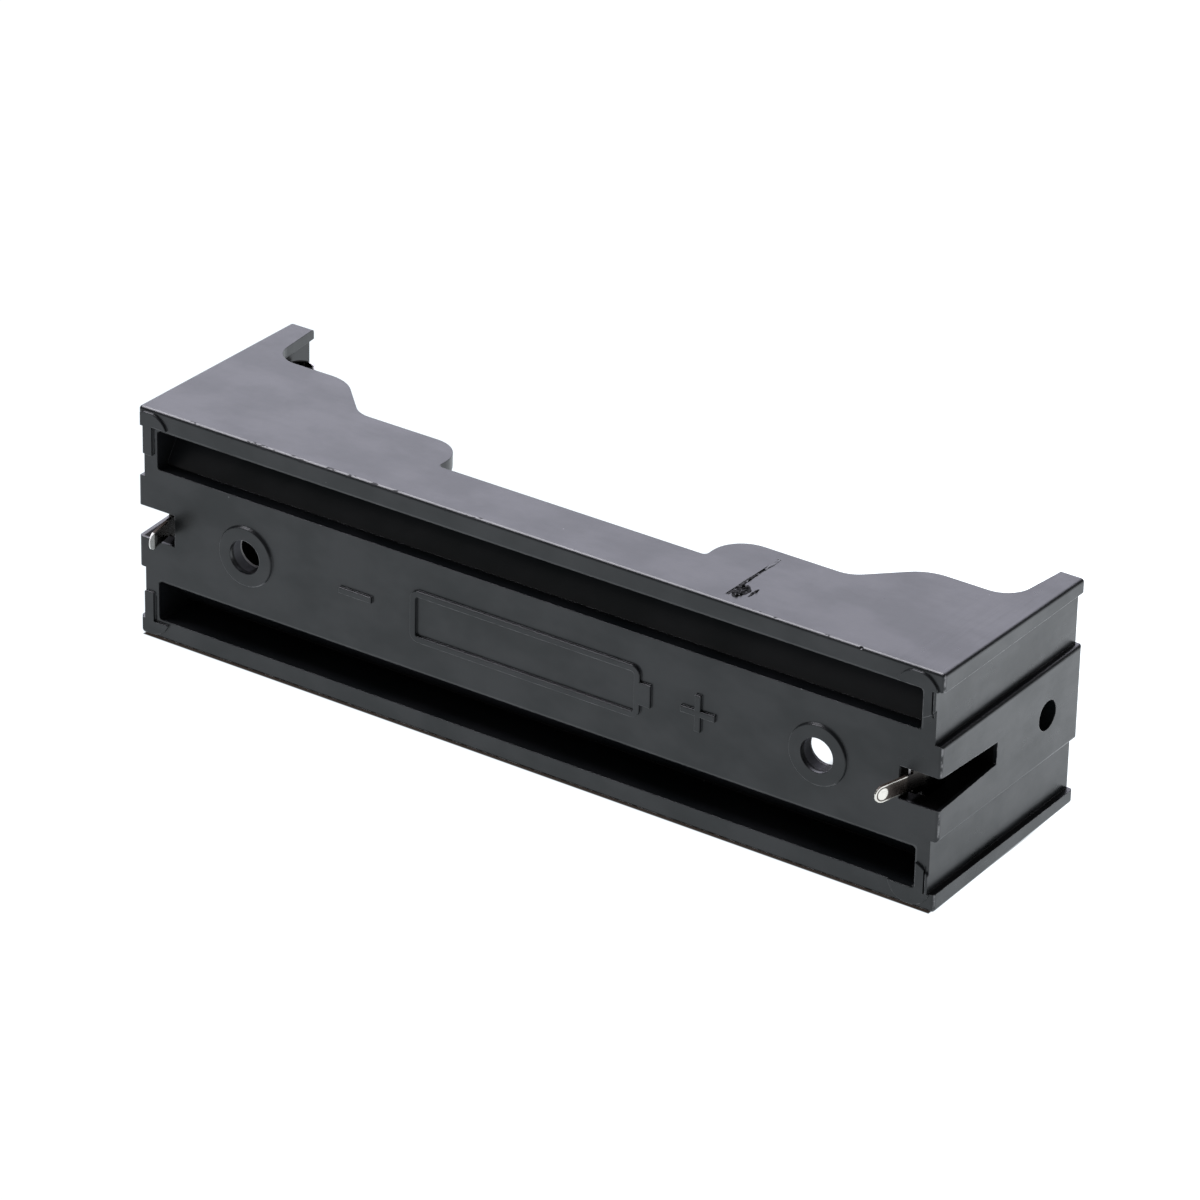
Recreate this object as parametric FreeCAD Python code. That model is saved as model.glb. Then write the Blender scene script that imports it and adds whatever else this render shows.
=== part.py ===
"""Single cylindrical cell holder for a circuit board, lying on one long side.

X runs along the cell, -Y is the normal of the board face, +Y is the open mouth, Z runs across.
The origin is the centre of the board face. All lengths are in millimetres.
"""
import FreeCAD
import Part
import math
import os
from FreeCAD import Vector

# Moulding, outside
LENGTH = 76.46
HEIGHT = 20.6
BASE_WIDTH = 20.7
MOUTH_WIDTH = 19.85
EDGE_RADIUS = 0.3
RELIEF_EDGE_RADIUS = 0.08

# Cell and the cradle that it lies in
CELL_DIAMETER = 18.6
CELL_CLEARANCE = 0.05
CRADLE_WALL = 1.35
END_WALL = 1.81
STRAIGHT_WALL_RISE = 2.35

# Long core-outs in the board face, either side of the middle
CORE_INNER_OFFSET = 5.1
CORE_OUTER_OFFSET = 8.58
CORE_END_RIM = 1.88
CORE_CORNER_RADIUS = 0.3
RIM_SLOPE_WIDTH = 0.2
RIM_SLOPE_DEPTH = 0.09

# Free edge of the two side walls, from the middle to each end
LOW_EDGE_HEIGHT = 5.8
LOW_EDGE_HALF_LENGTH = 12.74
STEP_HEIGHT = 9.75
SLOPE_START = 23.5
SLOPE_END = 27.85
FINGER_HEIGHT = 14.2
ARM_FOOT_INSET = 2.81
ARM_TIP_INSET = 2.18
LOW_CORNER_RADIUS = 0.4
STEP_RADIUS = 2.85
SLOPE_FOOT_RADIUS = 2.5
SLOPE_TOP_RADIUS = 3.8
ARM_FOOT_RADIUS = 2.4
FREE_EDGE_SHIFT = 0.1

# Raised band on each end wall and the shallow recesses either side of it
BAND_RISE = 0.07
BAND_HALF_WIDTH = 4.15
RECESS_DEPTH = 0.56
RECESS_OUTER_OFFSET = 8.75

# Slot and round hole of each end wall
SLOT_FOOT_WIDTH = 2.87
SLOT_TOP_WIDTH = 1.95
SLOT_HEIGHT = 8.3
NOTCH_LENGTH = 3.58
END_HOLE_DIAMETER = 2.55
END_HOLE_HEIGHT = 15.75

# Screw holes and the raised pads round them
SCREW_HOLE_DIAMETER = 2.98
SCREW_HOLE_SPACING = 54.76
SCREW_PAD_DIAMETER = 5.15
SCREW_PAD_FOOT_DIAMETER = 5.35
SCREW_PAD_RISE = 0.25

# Raised round marks that the ejector pins left at the four corners
EJECTOR_RADIUS = 1.95
EJECTOR_RISE = 0.2
EJECTOR_LEFT_INSET = 1.1
EJECTOR_RIGHT_INSET = 2.25
EJECTOR_SIDE_INSET = 2.2
LEFT_MARK_RIM_END_INSET = 1.44
LEFT_MARK_RIM_SIDE_INSET = 1.5

# Fine joint lines of the mould's inserts beside the long pockets
JOINT_WIDTH = 0.14
JOINT_DEPTH = 0.08
JOINT_START = 6.45
JOINT_LENGTH = 2.3
LEFT_JOINT_INSET = 1.58
RIGHT_JOINT_INSET = 0.85

# Raised polarity sign between the screw holes
SIGN_RISE = 0.25
SIGN_LINE = 0.55
SIGN_CELL_LENGTH = 22.0
SIGN_CELL_WIDTH = 4.6
SIGN_CELL_RADIUS = 0.8
SIGN_NUB_LENGTH = 1.0
SIGN_NUB_WIDTH = 2.0
SIGN_MARK_SIZE = 3.2
SIGN_MARK_OFFSET = 16.4

# Groove that the trimmed gate left in the upper side wall
GATE_OFFSET = 17.88
GATE_START = 1.2
GATE_END = 8.6
GATE_WIDTH = 0.3
GATE_DEPTH = 0.12

# Small nick in the near edge of the upper side wall
NICK_OFFSET = 30.75
NICK_RADIUS = 0.22

# Contacts, each folded from one strip
SHEET = 0.25
CONTACT_HALF_WIDTH = 7.8
FOLD_RADIUS = 1.22
FOLD_TOP = 18.95
LEAF_ANGLE = 30.0
CREST_HEIGHT = 10.9
CREST_RADIUS = 2.0
LEAF_RETURN_ANGLE = 28.0
LEAF_END_HEIGHT = 4.6
BACK_GAP = 0.4
LEAF_GAP = 0.65
NECK_WIDTH = 2.3
NECK_END_HEIGHT = 0.65
NECK_CORNER_RADIUS = 0.35
PIN_WIDTH = 1.42
PIN_LENGTH = 3.0
POSITIVE_PIN_LEAN = 15.0
NEGATIVE_PIN_LEAN = 11.2
PIN_BEND_HEIGHT = 4.1
PIN_BEND_RADIUS = 1.2
TIP_BEVEL_LENGTH = 0.8
TIP_BEVEL_DEPTH = 0.07

# Values that follow from the sizes above
HALF_LENGTH = LENGTH / 2
CRADLE_RADIUS = CELL_DIAMETER / 2 + CELL_CLEARANCE
AXIS_HEIGHT = CRADLE_WALL + CRADLE_RADIUS
INNER_HALF_LENGTH = HALF_LENGTH - END_WALL
OVERSIZE = 5.0


def box(x0, x1, y0, y1, z0, z1):
    """Box between two opposite corners."""
    return Part.makeBox(x1 - x0, y1 - y0, z1 - z0, Vector(x0, y0, z0))


def cylinder_along(axis, centre, radius, length):
    """Cylinder whose axis starts at a centre."""
    return Part.makeCylinder(radius, length, centre, axis)


def prism(points, direction):
    """Solid made by pushing a closed polygon along a direction."""
    wire = Part.makePolygon(points + [points[0]])
    return Part.Face(wire).extrude(direction)


def mirrored_ends(shape):
    """A shape and its mirror image at the other end."""
    return [shape, shape.mirror(Vector(0, 0, 0), Vector(1, 0, 0))]


def mirrored_sides(shape):
    """A shape and its mirror image at the other side."""
    return [shape, shape.mirror(Vector(0, 0, 0), Vector(0, 0, 1))]


def four_corners(shape):
    """A shape and its mirror images at all four corners."""
    return [copy for side in mirrored_sides(shape) for copy in mirrored_ends(side)]


def rounded_path(corners):
    """Edges through (x, y, radius) corners, each corner rounded by a tangent arc."""
    edges = []
    start = Vector(corners[0][0], corners[0][1], 0)
    for before, here, after in zip(corners, corners[1:], corners[2:]):
        corner = Vector(here[0], here[1], 0)
        incoming = (corner - Vector(before[0], before[1], 0)).normalize()
        outgoing = (Vector(after[0], after[1], 0) - corner).normalize()
        turn = incoming.getAngle(outgoing)
        reach = here[2] * math.tan(turn / 2)
        arc_start = corner - incoming * reach
        arc_end = corner + outgoing * reach
        bisector = (outgoing - incoming).normalize()
        centre = corner + bisector * (here[2] / math.cos(turn / 2))
        middle = centre - bisector * here[2]
        edges.append(Part.LineSegment(start, arc_start).toShape())
        edges.append(Part.Arc(arc_start, middle, arc_end).toShape())
        start = arc_end
    end = Vector(corners[-1][0], corners[-1][1], 0)
    edges.append(Part.LineSegment(start, end).toShape())
    return edges


def side_face_slope():
    """Sideways draft of a side wall for each millimetre of height."""
    return (BASE_WIDTH - MOUTH_WIDTH) / 2 / HEIGHT


def plate(x0, x1, y0, y1, z0, z1, radius):
    """Box whose four upright edges are rounded."""
    block = box(x0, x1, y0, y1, z0, z1)
    upright = [edge for edge in block.Edges if abs(edge.tangentAt(edge.FirstParameter).y) > 0.9]
    return block.makeFillet(radius, upright)


def outer_block():
    """Drafted block with softly rounded edges."""
    base = BASE_WIDTH / 2
    mouth = MOUTH_WIDTH / 2
    section = [
        Vector(-HALF_LENGTH, 0, -base),
        Vector(-HALF_LENGTH, HEIGHT, -mouth),
        Vector(-HALF_LENGTH, HEIGHT, mouth),
        Vector(-HALF_LENGTH, 0, base),
    ]
    block = prism(section, Vector(LENGTH, 0, 0))
    return block.makeFillet(EDGE_RADIUS, block.Edges)


def cell_bay():
    """Round cradle with straight walls above the cell's middle."""
    start = Vector(-INNER_HALF_LENGTH, AXIS_HEIGHT, 0)
    length = 2 * INNER_HALF_LENGTH
    cradle = cylinder_along(Vector(1, 0, 0), start, CRADLE_RADIUS, length)
    half_mouth = math.sqrt(CRADLE_RADIUS**2 - STRAIGHT_WALL_RISE**2)
    mouth = box(
        -INNER_HALF_LENGTH,
        INNER_HALF_LENGTH,
        AXIS_HEIGHT + STRAIGHT_WALL_RISE,
        HEIGHT + OVERSIZE,
        -half_mouth,
        half_mouth,
    )
    return cradle.fuse(mouth)


def side_wall_scallop():
    """Everything above the stepped free edge of the side walls, from arm to arm."""
    top = HEIGHT + OVERSIZE
    arm_foot = HALF_LENGTH - ARM_FOOT_INSET
    arm_tip = HALF_LENGTH - ARM_TIP_INSET
    lean = (arm_tip - arm_foot) / (HEIGHT - FINGER_HEIGHT)
    arm_top = arm_foot + lean * (top - FINGER_HEIGHT)
    half = [
        (LOW_EDGE_HALF_LENGTH, LOW_EDGE_HEIGHT, LOW_CORNER_RADIUS),
        (LOW_EDGE_HALF_LENGTH, STEP_HEIGHT, STEP_RADIUS),
        (SLOPE_START, STEP_HEIGHT, SLOPE_FOOT_RADIUS),
        (SLOPE_END, FINGER_HEIGHT, SLOPE_TOP_RADIUS),
        (arm_foot, FINGER_HEIGHT, ARM_FOOT_RADIUS),
    ]
    right_end = (arm_top, top, 0)
    left_half = [(-x, y, radius) for x, y, radius in reversed(half)]
    corners = [(-arm_top, top, 0)] + left_half + half + [right_end]
    edges = rounded_path(corners)
    edges.append(Part.makeLine(Vector(arm_top, top, 0), Vector(-arm_top, top, 0)))
    face = Part.Face(Part.Wire(edges))
    face.translate(Vector(FREE_EDGE_SHIFT, 0, -BASE_WIDTH))
    return face.extrude(Vector(0, 0, 2 * BASE_WIDTH))


def pocket_block(low, growth, bottom, top):
    """Rounded block of a long pocket, grown at its upper side and its right end."""
    start = CORE_END_RIM - HALF_LENGTH
    end = HALF_LENGTH - CORE_END_RIM + growth
    high = low + CORE_OUTER_OFFSET - CORE_INNER_OFFSET + growth
    return plate(start, end, bottom, top, low, high, CORE_CORNER_RADIUS)


def lowest_face(shape):
    """Face of a shape that lies lowest along Y."""
    return min(shape.Faces, key=lambda face: face.CenterOfMass.y)


def highest_face(shape):
    """Face of a shape that lies highest along Y."""
    return max(shape.Faces, key=lambda face: face.CenterOfMass.y)


def core_out(low):
    """Long pocket in the board face, from its low side up, that follows the outside of the cradle."""
    block = pocket_block(low, 0, RIM_SLOPE_DEPTH, AXIS_HEIGHT / 2)
    mouth = pocket_block(low, RIM_SLOPE_WIDTH, -OVERSIZE, 0)
    rims = [lowest_face(block).OuterWire, highest_face(mouth).OuterWire]
    block = block.fuse(Part.makeLoft(rims, True, True)).fuse(mouth)
    start = Vector(-HALF_LENGTH, AXIS_HEIGHT, 0)
    outer_radius = CRADLE_RADIUS + CRADLE_WALL
    cradle_back = cylinder_along(Vector(1, 0, 0), start, outer_radius, LENGTH)
    below_axis = block.cut(cradle_back)
    return max(below_axis.Solids, key=lambda solid: -solid.CenterOfMass.y)


def end_recess():
    """Shallow recess that runs from the middle of the right end wall to the lip."""
    return box(
        HALF_LENGTH - RECESS_DEPTH,
        HALF_LENGTH + OVERSIZE,
        -OVERSIZE,
        HEIGHT + OVERSIZE,
        BAND_HALF_WIDTH / 2,
        RECESS_OUTER_OFFSET,
    )


def end_band():
    """Raised band up the middle of the right end wall."""
    face_x = HALF_LENGTH + BAND_RISE
    inside = HALF_LENGTH - END_WALL / 2
    band = box(inside, face_x, 0, HEIGHT, -BAND_HALF_WIDTH, BAND_HALF_WIDTH)
    outer = [edge for edge in band.Edges if edge.BoundBox.XMin > face_x - EDGE_RADIUS / 2]
    return band.makeFillet(EDGE_RADIUS, outer)


def end_slot():
    """Tapered slot in the right end wall, open to the notch in the floor."""
    start = HALF_LENGTH - NOTCH_LENGTH
    foot = SLOT_FOOT_WIDTH / 2
    top = SLOT_TOP_WIDTH / 2
    section = [
        Vector(start, -OVERSIZE, -foot),
        Vector(start, 0, -foot),
        Vector(start, SLOT_HEIGHT, -top),
        Vector(start, SLOT_HEIGHT, top),
        Vector(start, 0, foot),
        Vector(start, -OVERSIZE, foot),
    ]
    return prism(section, Vector(NOTCH_LENGTH + OVERSIZE, 0, 0))


def end_hole():
    """Round hole through the right end wall."""
    start = Vector(INNER_HALF_LENGTH - SHEET, END_HOLE_HEIGHT, 0)
    length = END_WALL + OVERSIZE
    return cylinder_along(Vector(1, 0, 0), start, END_HOLE_DIAMETER / 2, length)


def screw_hole():
    """Right screw hole through the cradle's floor."""
    start = Vector(SCREW_HOLE_SPACING / 2, -OVERSIZE, 0)
    return cylinder_along(Vector(0, 1, 0), start, SCREW_HOLE_DIAMETER / 2, AXIS_HEIGHT + OVERSIZE)


def softened(solid, top):
    """Raised solid with the edges of its outermost face rounded."""
    raised = [edge for edge in solid.Edges if edge.BoundBox.YMax < top / 2]
    return solid.makeFillet(RELIEF_EDGE_RADIUS, raised)


def screw_pad():
    """Raised pad round the right screw hole, a little wider at its foot."""
    start = Vector(SCREW_HOLE_SPACING / 2, SCREW_PAD_RISE, 0)
    buried = SCREW_PAD_FOOT_DIAMETER - SCREW_PAD_DIAMETER / 2
    height = 2 * SCREW_PAD_RISE
    pad = Part.makeCone(buried, SCREW_PAD_DIAMETER / 2, height, start, Vector(0, -1, 0))
    return softened(pad, -SCREW_PAD_RISE)


def ejector_mark(end_inset):
    """Raised round mark at the upper right corner, kept on the flat of the board face."""
    side = BASE_WIDTH / 2
    start = Vector(HALF_LENGTH - end_inset, -EJECTOR_RISE, side - EJECTOR_SIDE_INSET)
    mark = cylinder_along(Vector(0, 1, 0), start, EJECTOR_RADIUS, 2 * EJECTOR_RISE)
    flat = box(
        0,
        HALF_LENGTH - EDGE_RADIUS,
        -OVERSIZE,
        OVERSIZE,
        0,
        side - EDGE_RADIUS,
    )
    return softened(mark, -EJECTOR_RISE).common(flat)


def ejector_marks():
    """All four marks, of which the left ones stop short of the pockets in an L."""
    right = ejector_mark(EJECTOR_RIGHT_INSET)
    rim = box(
        0,
        HALF_LENGTH - LEFT_MARK_RIM_END_INSET,
        -OVERSIZE,
        0,
        0,
        BASE_WIDTH / 2 - LEFT_MARK_RIM_SIDE_INSET,
    )
    left = mirrored_ends(ejector_mark(EJECTOR_LEFT_INSET).cut(rim))[1]
    return mirrored_sides(right) + mirrored_sides(left)


def mark_trim():
    """Part of an ejector mark that would hang over the recess of the end wall."""
    return box(
        HALF_LENGTH - RECESS_DEPTH,
        HALF_LENGTH + OVERSIZE,
        -OVERSIZE,
        EJECTOR_RISE + EDGE_RADIUS,
        BAND_HALF_WIDTH,
        RECESS_OUTER_OFFSET,
    )


def joint_line(x):
    """Fine groove across the board face beside the end of a pocket."""
    start = x - JOINT_WIDTH / 2
    end = x + JOINT_WIDTH / 2
    return box(start, end, -OVERSIZE, JOINT_DEPTH, JOINT_START, JOINT_START + JOINT_LENGTH)


def joint_lines():
    """All four grooves beside the pockets."""
    left = joint_line(LEFT_JOINT_INSET - HALF_LENGTH)
    right = joint_line(HALF_LENGTH - RIGHT_JOINT_INSET)
    return mirrored_sides(left) + mirrored_sides(right)


def sign_bar(x, length, width):
    """Straight raised bar of the sign, centred at x."""
    return box(x - length / 2, x + length / 2, -SIGN_RISE, SIGN_RISE, -width / 2, width / 2)


def sign_plate(length, width, radius):
    """Rounded rectangle of the sign."""
    half = length / 2
    return plate(-half, half, -SIGN_RISE, SIGN_RISE, -width / 2, width / 2, radius)


def polarity_sign():
    """Minus, the outline of a cell and plus, raised on the board face."""
    outline = sign_plate(SIGN_CELL_LENGTH, SIGN_CELL_WIDTH, SIGN_CELL_RADIUS)
    inside = sign_plate(
        SIGN_CELL_LENGTH - 2 * SIGN_LINE,
        SIGN_CELL_WIDTH - 2 * SIGN_LINE,
        SIGN_CELL_RADIUS - SIGN_LINE,
    )
    nub = sign_bar((SIGN_CELL_LENGTH + SIGN_NUB_LENGTH) / 2, SIGN_NUB_LENGTH, SIGN_NUB_WIDTH)
    minus = sign_bar(-SIGN_MARK_OFFSET, SIGN_MARK_SIZE, SIGN_LINE)
    plus = sign_bar(SIGN_MARK_OFFSET, SIGN_MARK_SIZE, SIGN_LINE)
    stem = sign_bar(SIGN_MARK_OFFSET, SIGN_LINE, SIGN_MARK_SIZE)
    cell = outline.cut(inside).fuse(nub).removeSplitter()
    signs = [cell, minus, plus.fuse(stem).removeSplitter()]
    return [softened(sign, -SIGN_RISE) for sign in signs]


def gate_groove():
    """Thin groove in the upper side wall, along the way that the gate was cut."""
    slope = side_face_slope()
    low = BASE_WIDTH / 2 - GATE_START * slope - GATE_DEPTH
    high = BASE_WIDTH / 2 - GATE_END * slope - GATE_DEPTH
    x = GATE_OFFSET - GATE_WIDTH / 2
    section = [
        Vector(x, GATE_START, low),
        Vector(x, GATE_END, high),
        Vector(x, GATE_END, high + OVERSIZE),
        Vector(x, GATE_START, low + OVERSIZE),
    ]
    return prism(section, Vector(GATE_WIDTH, 0, 0))


def edge_nick():
    """Rounded nick in the near edge of the upper side wall."""
    return Part.makeSphere(NICK_RADIUS, Vector(NICK_OFFSET, 0, BASE_WIDTH / 2))


def holder_body():
    """The whole moulding."""
    body = outer_block()
    for cut in four_corners(end_recess()):
        body = body.cut(cut)
    raised = mirrored_ends(end_band())
    raised += mirrored_ends(screw_pad())
    raised += ejector_marks()
    raised += polarity_sign()
    for part in raised:
        body = body.fuse(part)
    cuts = [cell_bay(), side_wall_scallop()]
    cuts += [core_out(CORE_INNER_OFFSET), core_out(-CORE_OUTER_OFFSET)]
    cuts += four_corners(mark_trim())
    cuts += joint_lines()
    cuts += mirrored_ends(end_slot())
    cuts += mirrored_ends(end_hole())
    cuts += mirrored_ends(screw_hole())
    cuts += [gate_groove(), edge_nick()]
    for cut in cuts:
        body = body.cut(cut)
    return body.removeSplitter()


def strip_section(path, thickness):
    """Closed face of constant thickness round a path of lines and tangent arcs."""
    wire = Part.Wire(path)
    half = thickness / 2
    outer = wire.makeOffset2D(half, 2, False, True, True)
    inner = wire.makeOffset2D(-half, 2, False, True, True)
    first = Part.makeLine(outer.OrderedVertexes[0].Point, inner.OrderedVertexes[0].Point)
    last = Part.makeLine(outer.OrderedVertexes[-1].Point, inner.OrderedVertexes[-1].Point)
    edges = outer.Edges + inner.Edges + [first, last]
    return Part.Face(Part.Wire(Part.__sortEdges__(edges)))


def contact_x(depth):
    """X of a point that lies a depth inwards from the right end wall."""
    return INNER_HALF_LENGTH - depth


def pin_tip(lean):
    """Middle of the strip at the end of the pin."""
    run = PIN_BEND_HEIGHT + PIN_LENGTH
    depth = SHEET / 2 + run * math.tan(math.radians(lean))
    return Vector(contact_x(depth), -PIN_LENGTH, 0)


def tip_bevel(lean, side):
    """Wedge that thins one broad face of the pin towards its end."""
    angle = math.radians(lean)
    down = Vector(-math.sin(angle), -math.cos(angle), 0)
    across = Vector(math.cos(angle), -math.sin(angle), 0) * side
    tip = pin_tip(lean) - Vector(0, 0, PIN_WIDTH)
    start = tip - down * TIP_BEVEL_LENGTH + across * (SHEET / 2)
    end = tip + across * (SHEET / 2 - TIP_BEVEL_DEPTH)
    beyond = end + (end - start)
    section = [start, beyond, beyond + across * SHEET, start + across * SHEET]
    return prism(section, Vector(0, 0, 2 * PIN_WIDTH))


def back_path(lean):
    """Middle of the strip from the pin's tip up to the start of the top fold."""
    tip = pin_tip(lean)
    fold_centre_height = FOLD_TOP - FOLD_RADIUS
    corners = [
        (tip.x, tip.y, 0),
        (contact_x(SHEET / 2), PIN_BEND_HEIGHT, PIN_BEND_RADIUS),
        (contact_x(SHEET / 2), fold_centre_height, 0),
    ]
    return rounded_path(corners)


def leaf_path():
    """Middle of the strip over the top fold, down the leaf and round its crest."""
    radius = FOLD_RADIUS - SHEET / 2
    centre_x = contact_x(FOLD_RADIUS)
    centre_y = FOLD_TOP - FOLD_RADIUS
    angle = math.radians(LEAF_ANGLE)
    full_turn = math.pi - angle
    turns = [0, full_turn / 2, full_turn]
    fold_start, fold_middle, fold_end = [
        Vector(centre_x + radius * math.cos(turn), centre_y + radius * math.sin(turn), 0)
        for turn in turns
    ]
    fold = Part.Arc(fold_start, fold_middle, fold_end).toShape()
    crest_x = fold_end.x - (fold_end.y - CREST_HEIGHT) * math.tan(angle)
    drop = CREST_HEIGHT - LEAF_END_HEIGHT
    end_x = crest_x + drop * math.tan(math.radians(LEAF_RETURN_ANGLE))
    corners = [
        (fold_end.x, fold_end.y, 0),
        (crest_x, CREST_HEIGHT, CREST_RADIUS),
        (end_x, LEAF_END_HEIGHT, 0),
    ]
    return [fold] + rounded_path(corners)


def full_width(face, half_width):
    """Strip section pushed out to its width, centred on the middle plane."""
    face.translate(Vector(0, 0, -half_width))
    return face.extrude(Vector(0, 0, 2 * half_width))


def spade_outline(gap):
    """Outline across the bay: straight sides above the axis, round below it."""
    length = HALF_LENGTH
    middle = Vector(0, AXIS_HEIGHT, 0)
    round_part = cylinder_along(Vector(1, 0, 0), middle, CRADLE_RADIUS - gap, length)
    top_half_width = CONTACT_HALF_WIDTH
    upper = box(0, length, AXIS_HEIGHT, HEIGHT + OVERSIZE, -top_half_width, top_half_width)
    lower = box(0, length, -OVERSIZE, AXIS_HEIGHT, -top_half_width, top_half_width)
    return upper.fuse(round_part.common(lower))


def neck_and_pin_outline():
    """Neck with rounded shoulders and the round-ended pin below it."""
    length = HALF_LENGTH
    top = AXIS_HEIGHT
    neck = box(0, length, NECK_END_HEIGHT, top, -NECK_WIDTH / 2, NECK_WIDTH / 2)
    shoulders = [
        edge
        for edge in neck.Edges
        if abs(edge.tangentAt(edge.FirstParameter).x) > 0.9
        and edge.CenterOfMass.y < NECK_END_HEIGHT + SHEET / 2
    ]
    neck = neck.makeFillet(NECK_CORNER_RADIUS, shoulders)
    pin_radius = PIN_WIDTH / 2
    tip_centre = -PIN_LENGTH + pin_radius
    pin = box(0, length, tip_centre, top, -pin_radius, pin_radius)
    tip = cylinder_along(Vector(1, 0, 0), Vector(0, tip_centre, 0), pin_radius, length)
    return neck.fuse(pin).fuse(tip)


def contact(lean):
    """Right contact: pin, neck, back plate, top fold and bent leaf, one strip."""
    back = full_width(strip_section(back_path(lean), SHEET), CONTACT_HALF_WIDTH)
    back = back.common(spade_outline(BACK_GAP).fuse(neck_and_pin_outline()))
    for side in (-1, 1):
        back = back.cut(tip_bevel(lean, side))
    leaf = full_width(strip_section(leaf_path(), SHEET), CONTACT_HALF_WIDTH)
    leaf = leaf.common(spade_outline(LEAF_GAP))
    return back.fuse(leaf).removeSplitter()


def export(name, shape):
    """Write one node as a single solid."""
    solid = shape.Solids[0]
    solid.exportStep(os.path.join("parts", name + ".step"))
    print(name, len(shape.Solids), solid.isValid(), round(solid.Volume, 2))


def main():
    """Build and write every piece."""
    os.makedirs("parts", exist_ok=True)
    export("holder_body", holder_body())
    export("positive_contact", contact(POSITIVE_PIN_LEAN))
    export("negative_contact", mirrored_ends(contact(NEGATIVE_PIN_LEAN))[1])


main()
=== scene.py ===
"""Looks of a black moulded holder for one cylindrical cell, lying on its long side wall.

Sizes are in millimetres where a name says so, and become metres with MM. A pair of places is where
a change starts and where it ends.
"""
import math
from collections import namedtuple

import bmesh
import bpy
from mathutils import Matrix, Vector, noise


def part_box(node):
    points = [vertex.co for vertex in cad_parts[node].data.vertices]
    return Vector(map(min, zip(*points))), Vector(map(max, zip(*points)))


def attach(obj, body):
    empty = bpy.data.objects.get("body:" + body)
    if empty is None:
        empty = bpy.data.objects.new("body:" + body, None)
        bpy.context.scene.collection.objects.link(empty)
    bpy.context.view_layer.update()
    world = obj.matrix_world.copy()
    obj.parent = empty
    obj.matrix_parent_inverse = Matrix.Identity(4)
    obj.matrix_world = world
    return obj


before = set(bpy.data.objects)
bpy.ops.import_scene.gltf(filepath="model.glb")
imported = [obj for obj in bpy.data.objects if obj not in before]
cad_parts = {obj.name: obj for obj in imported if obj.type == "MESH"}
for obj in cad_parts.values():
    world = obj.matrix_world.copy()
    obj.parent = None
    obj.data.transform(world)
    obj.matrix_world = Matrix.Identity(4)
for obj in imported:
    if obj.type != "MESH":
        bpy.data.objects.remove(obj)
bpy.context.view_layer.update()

MM = 0.001

# Camera, fitted to seven corners of the moulding
CAMERA_PLACE_MM = (256.5, -371.2, 243.0)
CAMERA_AZIMUTH = 33.907
CAMERA_ELEVATION = 27.831
CAMERA_ROLL = 1.296
CAMERA_LENS = 196.13
CAMERA_SENSOR = 36.0
CAMERA_CLIP_END = 20

# Studio
SKY_COLOUR = (0.97, 0.98, 1.0, 1.0)
SKY_STRENGTH = 0.18
FLOOR_SIZE = 3.0
FLOOR_MATT = (0.03, 0.03, 0.03, 1.0)
FRONT_GLOW = (0.985, 1.05, 1.10)
BACK_GLOW = (1.62, 1.70, 1.78)
GLOW_DIRECTION = (0.6, 0.8, 0.0)
GLOW_CHANGE_MM = (15.0, 62.0)

# Dark of the holder's contact with the floor, and the footprint that it follows
CONTACT_SHADE = (0.030, 0.022, 0.018)
FOOT_HALF_LENGTH_MM = 37.75
FOOT_DEPTH_MM = 20.6
FOOT_DEPTH_AT_GAP_MM = 5.8
FOOT_END_LENGTH_MM = 2.0
CONTACT_REACH_MM = (0.10, 0.24)
CONTACT_FADE_MM = (8.0, 19.0)

# Soft shade under the side wall's arms, whose front is measured from the low wall's free edge
ARM_SHADE_START_MM = (18.5, 20.5)
ARM_SHADE_END_MM = (36.5, 37.7)
ARM_SHADE_FRONT_MM = (0.0, 1.0)
ARM_SHADE_BACK_MM = (17.0, 20.5)

# Colours of the moulding, painted shade and painted highlights among them
PLASTIC_DARK = (0.004, 0.0055, 0.0062)
PLASTIC_CLOUDED = (0.009, 0.0095, 0.011)
PLASTIC_SCUFFED_AND_HIGHLIT = (0.22, 0.215, 0.22)
PLASTIC_DUST = (0.20, 0.205, 0.21)
BORE_SHADE = (0.003, 0.003, 0.003)
BORE_LIT_SIDE = (0.08, 0.08, 0.09)
BORE_PAINTED_RING = (0.38, 0.37, 0.37)
SLOT_SHADE = (0.004, 0.0036, 0.0034, 1.0)
TORN_DARK = (0.003, 0.003, 0.0035)
TORN_CRUMB = (0.30, 0.30, 0.31)

# Stretch of the plastic's clouds and flakes
CLOUD_STRETCH = (0.7, 1.0, 1.0)

# Colours of the spring strip, painted shade, painted dark reflections and painted highlights among
# them
LEAF_PLATE_SHADED = (0.50, 0.485, 0.455)
LEG_PLATE = (0.72, 0.69, 0.63)
TARNISH = (0.46, 0.43, 0.39)
LEG_FLAT_DARK_REFLECTION = (0.075, 0.062, 0.054)
SHEARED_EDGE = (0.06, 0.045, 0.036)
LEAF_UNDERSIDE_SHADE = (0.02, 0.018, 0.016)
LEFT_TIP_HIGHLIGHT = (0.86, 0.85, 0.81)
NECK_SHADE = (0.03, 0.027, 0.025)

# Radius of the softened edges, and depth of the painted relief
MOULDED_EDGE_MM = 0.09
WORN_AND_HIGHLIT_EDGE_MM = 0.14
STRIP_EDGE_MM = 0.07
GRAIN_DEPTH_MM = 0.0035
TEAR_DEPTH_MM = 0.05
ROLLING_DEPTH_MM = 0.002

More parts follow.
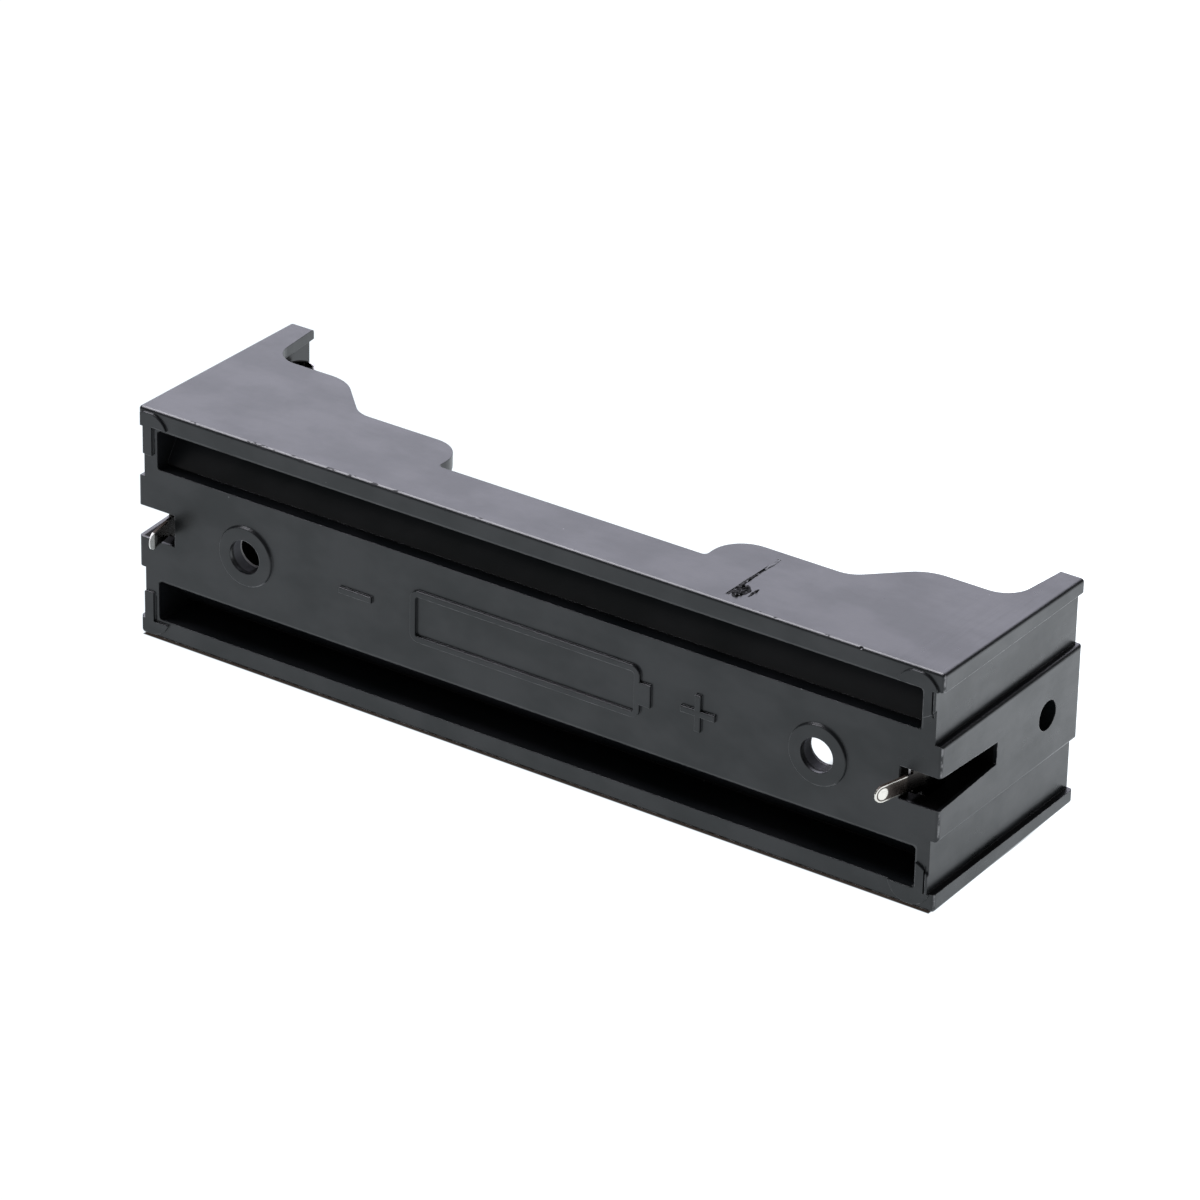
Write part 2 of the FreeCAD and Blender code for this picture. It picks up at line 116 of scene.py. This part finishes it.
# Worn places of the moulding, and places of its painted edge highlights
WIPED_END_MM = (31.0, 35.5)
RIGHT_END_MM = (37.9, 38.1)
RIGHT_CORNER_MM = (37.5, 37.8)
PROUD_RELIEF_MM = (-0.04, 0.0)
LOWER_EDGE_MM = (-10.1, -10.0)
NEAR_EDGE_MM = (0.25, 0.40)
UPPER_EDGE_MM = (10.0, 10.1)
CHIPPED_START_MM = (-33.0, -27.0)
CHIPPED_END_MM = (-12.0, 2.0)

# End slots, whose walls get painted shade
SLOT_INNER_END_MM = (34.0, 34.5)
SLOT_OUTER_END_MM = (37.9, 38.05)
SLOT_LIP_MM = (0.1, 0.3)
SLOT_TOP_MM = (8.3, 8.35)
SLOT_SIDE_MM = (1.9, 2.0)

# Screw holes, whose walls carry painted shade and painted highlights
SCREW_OFFSET_MM = 27.38
SCREW_REACH_MM = (1.5, 1.6)
BORE_START_MM = (0.0, 0.1)
BORE_LIT_MM = (0.2, 0.35)
BORE_PAINTED_RING_MM = (1.17, 1.22)

# Legs of the strips, whose tips are round, and the places of their painted dark reflections and
# painted highlights
LEG_ROOT_MM = (1.5, 2.5)
LEG_FLAT_MM = (0.57, 0.62)
TIP_CENTRE_MM = -2.29
TIP_HIGHLIGHT_MM = (0.44, 0.52)
LEFT_TIP_HIGHLIGHT_MM = (-2.4, -2.2)
LEFT_HALF_MM = (-1.0, 1.0)
NECK_START_MM = (-0.1, 0.2)

# Upper side wall, as the model has it
WALL_HEIGHT_MM = 10.35
WALL_DRAFT = 0.425 / 20.6

# Torn plastic round the cut gate: centre, half sizes and height of each patch
SCARS_MM = {
    "gate_scar": ((18.40, 2.45), (0.62, 1.22), 0.24),
    "gate_streak": ((19.42, 2.62), (0.13, 0.80), 0.12),
    "gate_fray": ((17.86, 4.0), (0.17, 1.6), 0.12),
}
GATE_END_MM = ((17.88, 7.75), (0.21, 1.0), 0.05)
SCAR_STEP_MM = 0.035
SCAR_MARGIN_MM = 0.15
SCAR_GRAIN = 0.34
SCAR_RAGGEDNESS = 0.35
SCAR_STEEPNESS = 4
SCAR_FOLD_STRETCH = 0.8
SCAR_FOLD_SHIFT = 5
SCAR_LOW_SHARE = 0.12
SCAR_FOLD_SHARE = 1.5

# A place on the holder: along the cell, in height above the board face, and across
Spot = namedtuple("Spot", "along height across")


class Signal:
    """A shader socket that can stand in a sum."""

    def __init__(self, finish, socket):
        self.finish = finish
        self.socket = socket

    def maths(self, operation, *others):
        return self.finish.maths(operation, self, *others)

    def __add__(self, other):
        return self.maths("ADD", other)

    def __sub__(self, other):
        return self.maths("SUBTRACT", other)

    def __rsub__(self, other):
        return self.finish.maths("SUBTRACT", other, self)

    def __neg__(self):
        return 0 - self

    def __mul__(self, other):
        return self.maths("MULTIPLY", other)

    def __abs__(self):
        return self.maths("ABSOLUTE")

    def other(self, output):
        """Another output of the same node."""
        return Signal(self.finish, self.socket.node.outputs[output])

    __radd__ = __add__
    __rmul__ = __mul__


class Finish:
    """The nodes of one material."""

    def __init__(self, name):
        self.material = bpy.data.materials.new(name)
        self.material.use_nodes = True
        self.tree = self.material.node_tree
        self.tree.nodes.clear()

    def node(self, kind, settings=(), inputs=(), output=0):
        """One node: its settings first, then its sockets, which take numbers or signals."""
        node = self.tree.nodes.new("ShaderNode" + kind)
        for name, value in dict(settings).items():
            setattr(node, name, value)
        for key, value in dict(inputs).items():
            socket = node.inputs[key]
            if isinstance(value, Signal):
                self.tree.links.new(value.socket, socket)
            else:
                socket.default_value = value
        return Signal(self, node.outputs[output])

    def maths(self, operation, *values):
        return self.node("Math", {"operation": operation}, enumerate(values))

    def smaller(self, first, second):
        return self.maths("MINIMUM", first, second)

    def larger(self, first, second):
        return self.maths("MAXIMUM", first, second)

    def length(self, first, second):
        """Length of the vector with two such sides."""
        return self.maths("SQRT", first * first + second * second)

    def ramp(self, value, low, high):
        """0 below low, 1 above high, smooth between them."""
        sockets = {"Value": value, "From Min": low, "From Max": high}
        return self.node("MapRange", {"interpolation_type": "SMOOTHSTEP"}, sockets)

    def window(self, value, rise, fall):
        """0 below the rise, 1 between the two, 0 above the fall."""
        return self.ramp(value, *rise) * (1 - self.ramp(value, *fall))

    def dot(self, first, second):
        return self.node("VectorMath", {"operation": "DOT_PRODUCT"}, {0: first, 1: second}, "Value")

    def parts(self, vector):
        """The three parts of a vector."""
        first = self.node("SeparateXYZ", {}, {0: vector})
        return first, first.other("Y"), first.other("Z")

    def place(self):
        """Object coordinates in millimetres."""
        coordinates = self.node("TexCoord", output="Object")
        sockets = {"Vector": coordinates, "Scale": 1 / MM}
        return self.node("VectorMath", {"operation": "SCALE"}, sockets)

    def stretched(self, place, scale, turn=(0, 0, 0)):
        """The place in its own stretched and turned coordinates."""
        return self.node("Mapping", {}, {"Vector": place, "Scale": scale, "Rotation": turn})

    def noise(self, place, scale, detail, roughness):
        sockets = {"Vector": place, "Scale": scale, "Detail": detail, "Roughness": roughness}
        return self.node("TexNoise", {}, sockets)

    def mix(self, factor, first, second):
        """Blend of two colours, each a signal or three numbers."""
        colours = [c if isinstance(c, Signal) else (*c, 1.0) for c in (first, second)]
        sockets = {0: factor, 6: colours[0], 7: colours[1]}
        return self.node("Mix", {"data_type": "RGBA"}, sockets, 2)

    def normal(self):
        """The mesh's own normal."""
        return self.node("NewGeometry", output="Normal")

    def rounded_edges(self, radius_mm, samples=6):
        """Normals that run round the edges of the mesh."""
        return self.node("Bevel", {"samples": samples}, {"Radius": radius_mm * MM})

    def bump(self, relief, depth_mm, normal):
        sockets = {"Height": relief, "Distance": depth_mm * MM, "Strength": 1.0, "Normal": normal}
        return self.node("Bump", {}, sockets)

    def made_of(self, shader):
        """The material, with this shader on its surface."""
        output = self.tree.nodes.new("ShaderNodeOutputMaterial")
        self.tree.links.new(shader.socket, output.inputs["Surface"])
        return self.material


def worn_and_highlit_edges(finish, spot):
    """1 on all edges of the right end wall, which are worn and carry a painted highlight, and less, as
    a painted highlight, on other edges that face down or left.
    """
    round_normal = finish.rounded_edges(WORN_AND_HIGHLIT_EDGE_MM, samples=8)
    to_right, _, to_top = finish.parts(round_normal)
    edge = finish.ramp(1 - finish.dot(finish.normal(), round_normal), 0.02, 0.12)
    down_left = finish.ramp(-to_right - to_top, 0.15, 0.45)
    return edge * (finish.ramp(spot.along, *RIGHT_END_MM) + down_left * 0.6)


def end_corner(finish, spot):
    """1 on the soft corner between the right end wall and the board face, which is worn and carries a
    painted highlight.
    """
    to_right, to_mouth, _ = finish.parts(finish.normal())
    tilted = finish.window(to_right, (0.60, 0.72), (0.95, 0.985)) * finish.ramp(-to_mouth, 0.15, 0.25)
    return tilted * finish.ramp(spot.along, *RIGHT_CORNER_MM)


def relief_rim_highlights(finish, spot):
    """Painted highlight: 1 on slopes that face down or left, of raised relief and along the lower near
    edge.
    """
    to_right, to_mouth, to_top = finish.parts(finish.normal())
    tilted = finish.window(-to_mouth, (0.2, 0.35), (0.92, 0.97))
    above_relief = finish.ramp(spot.height, *PROUD_RELIEF_MM)
    above_edge = finish.ramp(spot.across, *LOWER_EDGE_MM)
    down_left = finish.ramp(-(to_right * 0.4) - to_top, 0.25, 0.5)
    return tilted * down_left * (1 - finish.smaller(above_relief, above_edge))


def scuffs_and_highlights(finish, spot):
    """1 on all worn edges and on edges with painted highlights."""
    end_wall = finish.larger(worn_and_highlit_edges(finish, spot), end_corner(finish, spot))
    return finish.larger(end_wall, relief_rim_highlights(finish, spot))


def chips(finish, place, spot):
    """1 on dull chips of the upper near edge, with more of them in its left half."""
    flaky = finish.stretched(place, CLOUD_STRETCH)
    flakes = finish.noise(flaky, scale=2.0, detail=3.0, roughness=0.6)
    worn_run = finish.window(spot.along, CHIPPED_START_MM, CHIPPED_END_MM) * 0.09
    edge = (1 - finish.ramp(spot.height, *NEAR_EDGE_MM)) * finish.ramp(spot.across, *UPPER_EDGE_MM)
    return edge * finish.ramp(flakes + worn_run, 0.655, 0.69)


def dust(finish, place):
    """1 on a few scattered specks."""
    sockets = {"Vector": place, "Scale": 0.62, "Randomness": 1.0}
    distance = finish.node("TexVoronoi", {"feature": "F1"}, sockets)
    lot = finish.node("SeparateColor", {}, {"Color": distance.other("Color")})
    return (1 - finish.ramp(distance, 0.025, 0.05)) * finish.ramp(lot, 0.84, 0.86)


def slot_walls(finish, spot):
    """1 on the walls of the end slots."""
    length = finish.window(abs(spot.along), SLOT_INNER_END_MM, SLOT_OUTER_END_MM)
    height = finish.window(spot.height, SLOT_LIP_MM, SLOT_TOP_MM)
    return length * height * (1 - finish.ramp(abs(spot.across), *SLOT_SIDE_MM))


def bore_walls(finish, spot):
    """1 on the walls of the screw holes, behind their outer edges."""
    reach = finish.length(abs(spot.along) - SCREW_OFFSET_MM, spot.across)
    return (1 - finish.ramp(reach, *SCREW_REACH_MM)) * finish.ramp(spot.height, *BORE_START_MM)


def bore_colour(finish, spot, bore, plastic):
    """Painted shade on the wall of a screw hole, a painted highlight where it faces right, and a
    painted bright ring deep inside.
    """
    to_right = finish.parts(finish.normal())[0]
    lit = bore * finish.ramp(to_right, -0.2, 0.0) * finish.ramp(spot.height, *BORE_LIT_MM)
    colour = finish.mix(bore, plastic, BORE_SHADE)
    colour = finish.mix(lit, colour, BORE_LIT_SIDE)
    return finish.mix(lit * finish.ramp(spot.height, *BORE_PAINTED_RING_MM), colour, BORE_PAINTED_RING)


def moulding_finish():
    """Satin black moulded plastic with clouded flow, fine grain, dust, wiped streaks and worn edges,
    with painted highlights on edges and painted shade in the end slots and screw holes.
    """
    finish = Finish("black_moulding")
    place = finish.place()
    spot = Spot(*finish.parts(place))
    cloudy = finish.stretched(place, CLOUD_STRETCH)
    flowing = finish.stretched(place, (0.25, 1.6, 1.6), turn=(0, 0, 0.5))
    streaky = finish.stretched(place, (2.4, 0.16, 1.0))
    clouds = finish.noise(cloudy, scale=0.22, detail=3.0, roughness=0.55)
    mottle = finish.noise(place, scale=1.6, detail=4.0, roughness=0.65)
    grain = finish.noise(place, scale=11.0, detail=2.0, roughness=0.6)
    flow = finish.noise(flowing, scale=0.8, detail=3.0, roughness=0.6)
    streaks = finish.noise(streaky, scale=0.9, detail=3.0, roughness=0.6)
    wiped = finish.ramp(spot.along, *WIPED_END_MM) * (streaks - 0.5)
    bore = bore_walls(finish, spot)

    shade = finish.mix(finish.ramp(clouds, 0.3, 0.7), PLASTIC_DARK, PLASTIC_CLOUDED)
    # Worn edges made lighter, with painted highlights on edges that face down or left
    shade = finish.mix(scuffs_and_highlights(finish, spot) * finish.ramp(mottle, 0.38, 0.62), shade, PLASTIC_SCUFFED_AND_HIGHLIT)
    shade = finish.mix(dust(finish, place) * 0.75, shade, PLASTIC_DUST)

    roughness = 0.32 + (clouds - 0.5) * 0.10 + (mottle - 0.5) * 0.10 + (flow - 0.5) * 0.08
    roughness = roughness + wiped * 0.2 + chips(finish, place, spot) * 0.5 + bore * 0.4
    relief = grain * 0.30 + mottle * 0.8 + flow * 0.35 + wiped * 2.2
    sockets = {
        "Base Color": bore_colour(finish, spot, bore, shade),
        "Roughness": roughness,
        "Coat Weight": finish.ramp(clouds, 0.35, 0.65) * 0.14 * (1 - bore),
        "Coat Roughness": 0.3,
        "IOR": 1.45,
        "Normal": finish.bump(relief, GRAIN_DEPTH_MM, finish.rounded_edges(MOULDED_EDGE_MM)),
    }
    satin = finish.node("BsdfPrincipled", {}, sockets)
    # Painted shade: the walls of the end slots take a dark matt shader
    matt = finish.node("BsdfDiffuse", {}, {"Color": SLOT_SHADE})
    painted_slot_shade = slot_walls(finish, spot) * 0.9
    return finish.made_of(finish.node("MixShader", {}, {0: painted_slot_shade, 1: satin, 2: matt}))


def torn_finish():
    """Dull black plastic that was torn when the gate was cut, with a few light crumbs."""
    finish = Finish("torn_moulding")
    place = finish.place()
    crumbs = finish.noise(place, scale=7.0, detail=2.0, roughness=0.6)
    folds = finish.noise(place, scale=3.0, detail=3.0, roughness=0.6)
    sockets = {
        "Base Color": finish.mix(finish.ramp(crumbs, 0.64, 0.70), TORN_DARK, TORN_CRUMB),
        "Roughness": 0.55 + finish.ramp(folds, 0.4, 0.6) * 0.2,
        "IOR": 1.25,
        "Normal": finish.bump(folds, TEAR_DEPTH_MM, finish.normal()),
    }
    return finish.made_of(finish.node("BsdfPrincipled", {}, sockets))


def left_tip_highlights(finish, spot):
    """1 on the tip of the left leg, where a painted highlight goes."""
    return (1 - finish.ramp(spot.height, *LEFT_TIP_HIGHLIGHT_MM)) * (1 - finish.ramp(spot.along, *LEFT_HALF_MM))


def leg_flats_dark_reflection(finish, spot, left_tip_highlight):
    """1 on the legs' faces inside their bevelled rims, which get a painted dark reflection, but for
    the tips' spots, which keep the bright plate as a painted highlight.
    """
    from_centre = spot.height - TIP_CENTRE_MM
    reach = finish.length(finish.smaller(from_centre, 0), spot.across)
    tip_highlight = 1 - finish.ramp(finish.length(from_centre, spot.across), *TIP_HIGHLIGHT_MM)
    return (1 - finish.ramp(reach, *LEG_FLAT_MM)) * (1 - finish.larger(tip_highlight, left_tip_highlight))


def strip_finish():
    """Bright plated spring strip, rolled along its length, with dull sheared edges; painted shade on
    the leaves, their undersides and the necks, painted dark reflections on the legs' faces and painted
    highlights on their tips.
    """
    finish = Finish("plated_spring_strip")
    place = finish.place()
    spot = Spot(*finish.parts(place))
    rolled_out = finish.stretched(place, (1.0, 0.12, 6.0))
    rolled = finish.noise(rolled_out, scale=2.2, detail=3.0, roughness=0.6)
    stains = finish.noise(place, scale=1.1, detail=4.0, roughness=0.6)
    pits = finish.noise(place, scale=9.0, detail=2.0, roughness=0.5)
    tarnish = finish.ramp(stains, 0.45, 0.75)

    _, to_mouth, to_top = finish.parts(finish.normal())
    leg = 1 - finish.ramp(spot.height, *LEG_ROOT_MM)
    left_tip_highlight = left_tip_highlights(finish, spot)
    # Painted dark reflection on the legs' faces, inside their rims
    flat_dark_reflection = leg * leg_flats_dark_reflection(finish, spot, left_tip_highlight)
    sheared = leg * finish.ramp(abs(to_top), 0.6, 0.8)
    # Painted shade on the leaves' faces that turn towards the board side
    underside_shade = (1 - leg) * finish.ramp(-to_mouth, 0.0, 0.3)
    # Painted shade on the necks of the legs
    neck_shade = leg * finish.ramp(spot.height, *NECK_START_MM)

    # The leaves get a darker plate than the legs: painted shade inside the holder
    colour = finish.mix(leg, LEAF_PLATE_SHADED, LEG_PLATE)
    colour = finish.mix(tarnish * 0.5, colour, TARNISH)
    colour = finish.mix(flat_dark_reflection * (0.8 + stains * 0.4), colour, LEG_FLAT_DARK_REFLECTION)
    colour = finish.mix(sheared, colour, SHEARED_EDGE)
    colour = finish.mix(underside_shade, colour, LEAF_UNDERSIDE_SHADE)
    # Painted highlight: the left leg's tip made nearly white
    colour = finish.mix(left_tip_highlight, colour, LEFT_TIP_HIGHLIGHT)
    colour = finish.mix(neck_shade, colour, NECK_SHADE)

    roughness = 0.12 + tarnish * 0.06 + (rolled - 0.5) * 0.06
    relief = (rolled * 0.6 + pits * 0.4) * (1 - flat_dark_reflection * 0.7)
    sockets = {
        "Base Color": colour,
        "Metallic": (1 - sheared * 0.6) * (1 - left_tip_highlight * 0.8),
        "Roughness": roughness + sheared * 0.35 + flat_dark_reflection * 0.12 + left_tip_highlight * 0.3,
        "Normal": finish.bump(relief, ROLLING_DEPTH_MM, finish.rounded_edges(STRIP_EDGE_MM)),
    }
    return finish.made_of(finish.node("BsdfPrincipled", {}, sockets))


def open_floor(finish, along, depth):
    """0 where the holder lies on the floor or its arms shade it, and 1 clear of the holder."""
    past_end = abs(along) - FOOT_HALF_LENGTH_MM
    past_wall = depth - FOOT_DEPTH_AT_GAP_MM
    past_depth = depth - FOOT_DEPTH_MM
    inside_end = -past_end - FOOT_END_LENGTH_MM
    past_back = finish.smaller(past_wall, finish.larger(past_depth, inside_end))
    outside = finish.larger(past_end, finish.larger(-depth, past_back))
    away = finish.larger(
        finish.ramp(outside, *CONTACT_REACH_MM), finish.ramp(depth, *CONTACT_FADE_MM)
    )
    under_arms = finish.window(abs(along), ARM_SHADE_START_MM, ARM_SHADE_END_MM)
    behind_wall = finish.ramp(past_wall, *ARM_SHADE_FRONT_MM)
    before_mouth = 1 - finish.ramp(depth, *ARM_SHADE_BACK_MM)
    return away * (1 - under_arms * behind_wall * before_mouth)


def floor_finish():
    """Overexposed white sweep, brighter behind the holder and dark where the holder touches it."""
    finish = Finish("pale_floor")
    place = finish.place()
    along, depth, _ = finish.parts(place)
    backwards = finish.ramp(finish.dot(place, GLOW_DIRECTION), *GLOW_CHANGE_MM)
    shade = finish.mix(backwards, FRONT_GLOW, BACK_GLOW)
    shade = finish.mix(open_floor(finish, along, depth), CONTACT_SHADE, shade)
    glow = finish.node("Emission", {}, {"Color": shade, "Strength": 1.0})
    matt = finish.node("BsdfDiffuse", {}, {"Color": FLOOR_MATT})
    return finish.made_of(finish.node("AddShader", {}, {0: glow, 1: matt}))


def dress_node(name, material):
    """Give a CAD node a finish in place of the plain one."""
    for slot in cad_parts[name].material_slots:
        slot.material = material


def add_piece(name, shape, material):
    """A new object from a finished bmesh, which is freed."""
    mesh = bpy.data.meshes.new(name)
    shape.to_mesh(mesh)
    shape.free()
    piece = bpy.data.objects.new(name, mesh)
    piece.data.materials.append(material)
    bpy.context.scene.collection.objects.link(piece)
    return piece


def scar_rise(x, y, half_x, half_y, height):
    """Rise of torn plastic above the wall, at a place measured from the patch's centre."""
    reach = math.hypot(x / half_x, y / half_y)
    ragged = reach + SCAR_RAGGEDNESS * noise.noise(Vector((x, y, height)) / (2 * SCAR_GRAIN))
    if ragged > 1:
        return -SCAR_STEP_MM
    fold_place = Vector((x, y * SCAR_FOLD_STRETCH, SCAR_FOLD_SHIFT * height))
    folds = abs(noise.noise(fold_place / SCAR_GRAIN))
    slope = min(1.0, SCAR_STEEPNESS * (1 - ragged))
    return height * slope * (SCAR_LOW_SHARE + SCAR_FOLD_SHARE * folds)


def tear_gate_scar(name, centre, half_sizes, height, material):
    """Rough raised patch on the upper side wall."""
    width = 2 * half_sizes[0] + 2 * SCAR_MARGIN_MM
    length = 2 * half_sizes[1] + 2 * SCAR_MARGIN_MM
    patch = bmesh.new()
    bmesh.ops.create_grid(
        patch,
        x_segments=round(width / SCAR_STEP_MM),
        y_segments=round(length / SCAR_STEP_MM),
        size=0.5,
    )
    for vert in patch.verts:
        x, y = vert.co.x * width, vert.co.y * length
        wall = WALL_HEIGHT_MM - WALL_DRAFT * (centre[1] + y)
        rise = scar_rise(x, y, *half_sizes, height)
        vert.co = Vector((centre[0] + x, centre[1] + y, wall + rise)) * MM
    for face in patch.faces:
        face.smooth = True
    piece = add_piece(name, patch, material)
    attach(piece, "root")


def lay_floor(material):
    """Floor under the holder's lowest point."""
    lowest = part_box("holder_body")[0][2]
    sheet = bmesh.new()
    bmesh.ops.create_grid(sheet, x_segments=1, y_segments=1, size=FLOOR_SIZE / 2)
    bmesh.ops.translate(sheet, vec=(0, 0, lowest), verts=sheet.verts)
    floor = add_piece("floor", sheet, material)


def view_axes():
    """Right, up and back vectors of the camera."""
    azimuth = math.radians(CAMERA_AZIMUTH)
    elevation = math.radians(CAMERA_ELEVATION)
    roll = math.radians(CAMERA_ROLL)
    back = Vector((
        math.sin(azimuth) * math.cos(elevation),
        -math.cos(azimuth) * math.cos(elevation),
        math.sin(elevation),
    ))
    level = Vector((math.cos(azimuth), math.sin(azimuth), 0))
    upright = back.cross(level)
    right = level * math.cos(roll) + upright * math.sin(roll)
    return right, back.cross(right), back


def set_camera():
    """Camera at the photograph's place, with its long lens."""
    lens = bpy.data.cameras.new("camera")
    lens.lens = CAMERA_LENS
    lens.sensor_width = CAMERA_SENSOR
    lens.clip_end = CAMERA_CLIP_END
    camera = bpy.data.objects.new("camera", lens)
    camera.matrix_world = Matrix(view_axes()).transposed().to_4x4()
    camera.location = Vector(CAMERA_PLACE_MM) * MM
    bpy.context.scene.collection.objects.link(camera)
    bpy.context.scene.camera = camera


def soft_box(name, direction, distance, size, power, colour):
    """Large soft light that looks at the holder."""
    lamp = bpy.data.lights.new(name, "AREA")
    lamp.shape = "RECTANGLE"
    lamp.size, lamp.size_y = size
    lamp.energy = power
    lamp.color = colour
    light = bpy.data.objects.new(name, lamp)
    towards = Vector(direction).normalized()
    light.rotation_euler = towards.to_track_quat("Z", "Y").to_euler()
    light.location = towards * distance
    bpy.context.scene.collection.objects.link(light)


def light_studio():
    """Dim surroundings, a broad light behind the holder and a bright one above it."""
    world = bpy.data.worlds.new("studio")
    world.use_nodes = True
    sky = world.node_tree.nodes["Background"]
    sky.inputs["Color"].default_value = SKY_COLOUR
    sky.inputs["Strength"].default_value = SKY_STRENGTH
    bpy.context.scene.world = world
    soft_box(
        "back_light",
        direction=(-0.49, 0.735, 0.47),
        distance=1.2,
        size=(1.6, 0.9),
        power=11.5,
        colour=(0.86, 0.855, 1.0),
    )
    soft_box(
        "overhead_light",
        direction=(-0.50, 0.10, 0.86),
        distance=0.9,
        size=(0.80, 0.45),
        power=14.0,
        colour=(0.93, 0.92, 1.0),
    )
    bpy.context.scene.view_settings.view_transform = "Standard"


moulding = moulding_finish()
strip = strip_finish()
torn = torn_finish()
dress_node("holder_body", moulding)
dress_node("positive_contact", strip)
dress_node("negative_contact", strip)
for name, (centre, half_sizes, height) in SCARS_MM.items():
    tear_gate_scar(name, centre, half_sizes, height, torn)
tear_gate_scar("gate_end", *GATE_END_MM, moulding)
lay_floor(floor_finish())
set_camera()
light_studio()
